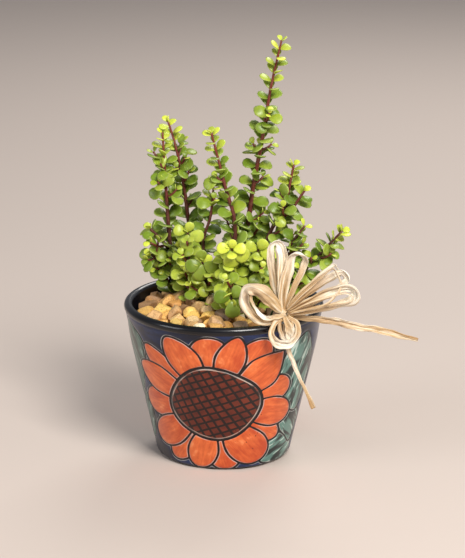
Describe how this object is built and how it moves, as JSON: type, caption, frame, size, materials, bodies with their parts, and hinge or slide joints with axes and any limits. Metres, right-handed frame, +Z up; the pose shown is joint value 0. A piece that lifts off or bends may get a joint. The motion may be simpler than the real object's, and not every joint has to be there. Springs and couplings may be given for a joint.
{
  "type": "planted flowerpot",
  "caption": "Tapered glazed flowerpot with incised sunflowers, planted with elephant bush cuttings in pea gravel and dressed with a raffia bow.",
  "frame": {"origin": "centre of the pot's flat underside, on the surface that it stands on", "axes": "+Z up along the pot's axis; -Y towards the front, where the main sunflower is and the bow is at the right; +X to the right seen from the front"},
  "size_m": [0.2186, 0.1524, 0.3181],
  "materials": {
    "painted_glaze": "glossy glaze over incised painting: orange sunflowers, teal leaves, navy ground",
    "pea_gravel": "tumbled ochre, tan and brown pebbles",
    "potting_soil": "dark crumbly bark and peat mix",
    "elephant_bush": "fleshy green leaves with yellow-green tips on mahogany stems",
    "raffia": "dry pale palm fibre with lengthwise streaks",
    "green_wire": "thin green florist's wire"
  },
  "bodies": {
    "pot": {"pot_body": "painted_glaze", "drainage_layer": "pea_gravel", "potting_soil": "potting_soil", "root_ball": "potting_soil", "gravel_bed": "pea_gravel", "pebble_01": "pea_gravel", "pebble_02": "pea_gravel", "pebble_03": "pea_gravel", "pebble_04": "pea_gravel", "pebble_05": "pea_gravel", "pebble_06": "pea_gravel", "pebble_07": "pea_gravel", "pebble_08": "pea_gravel", "pebble_09": "pea_gravel", "pebble_10": "pea_gravel", "pebble_11": "pea_gravel", "pebble_12": "pea_gravel", "pebble_13": "pea_gravel", "pebble_14": "pea_gravel", "pebble_15": "pea_gravel", "pebble_16": "pea_gravel", "pebble_17": "pea_gravel", "pebble_18": "pea_gravel", "pebble_19": "pea_gravel", "cutting_tall": "elephant_bush", "cutting_left": "elephant_bush", "cutting_left_back": "elephant_bush", "cutting_middle": "elephant_bush", "cutting_thin": "elephant_bush", "cutting_right": "elephant_bush", "cutting_right_low": "elephant_bush", "cutting_front": "elephant_bush", "cutting_front_left": "elephant_bush", "cutting_front_short": "elephant_bush", "cutting_front_low": "elephant_bush", "cutting_front_right": "elephant_bush"},
    "bow": {"bow_knot": "raffia", "bow_pick": "green_wire", "bow_loop_left": "raffia", "bow_loop_tall_left": "raffia", "bow_loop_tall_right": "raffia", "bow_loop_right_upper": "raffia", "bow_loop_right_middle": "raffia", "bow_loop_right_lower": "raffia", "bow_loop_hanging": "raffia", "bow_loop_hanging_inner": "raffia", "bow_tail_long": "raffia", "bow_tail_short": "raffia"}
  },
  "joints": [
    {"name": "bow_lift", "type": "slide", "parent": "pot", "child": "bow", "axis": [0, 0, 1], "range_m": [0, 0.06]}
  ]
}
